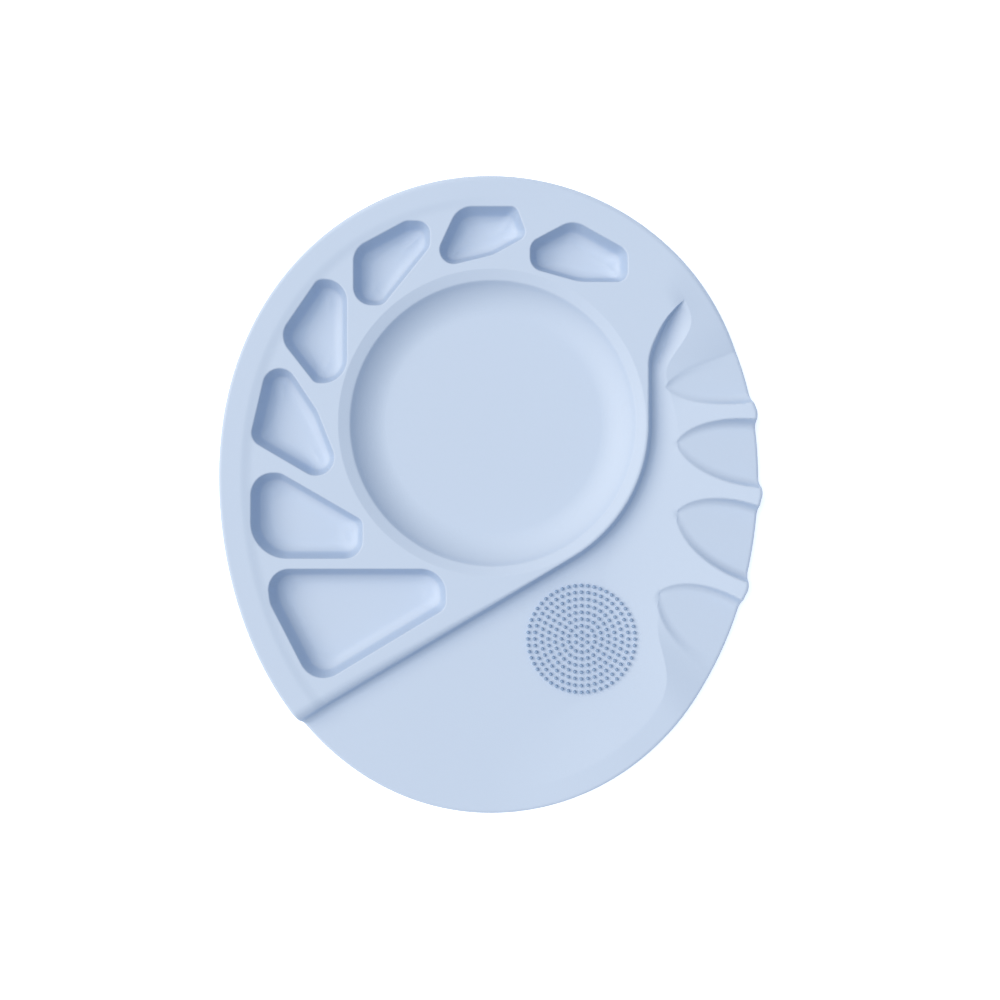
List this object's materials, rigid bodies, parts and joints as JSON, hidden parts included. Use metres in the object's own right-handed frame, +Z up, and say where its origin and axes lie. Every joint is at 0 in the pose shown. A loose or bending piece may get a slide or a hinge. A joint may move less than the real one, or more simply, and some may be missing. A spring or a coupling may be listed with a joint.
{
  "type": "mixing palette",
  "caption": "Egg-shaped flexible paint palette with a round mixing well, a ring of paint wells, a raised deck over a lower deck, a nubbed scrubbing pad and a fluted brush rest.",
  "frame": {"origin": "on the table, under the middle of the overall box", "axes": "+X towards the brush rest, +Y towards the narrow paint wells at the back, +Z up"},
  "size_m": [0.2097, 0.2472, 0.015],
  "materials": {
    "palette_silicone": "matte moulded silicone, pale blue",
    "scrub_silicone": "matte moulded silicone, pale blue, with nubs"
  },
  "bodies": {
    "root": {"paint_deck": "palette_silicone", "deck_rim": "palette_silicone", "mixing_well": "palette_silicone", "paint_well_1": "palette_silicone", "paint_well_2": "palette_silicone", "paint_well_3": "palette_silicone", "paint_well_4": "palette_silicone", "paint_well_5": "palette_silicone", "paint_well_6": "palette_silicone", "paint_well_7": "palette_silicone", "step_wall": "palette_silicone", "lower_deck": "palette_silicone", "lower_border": "palette_silicone", "side_hollow": "palette_silicone", "brush_rest": "palette_silicone", "scrub_pad": "scrub_silicone", "scrub_nubs": "scrub_silicone"}
  },
  "joints": []
}
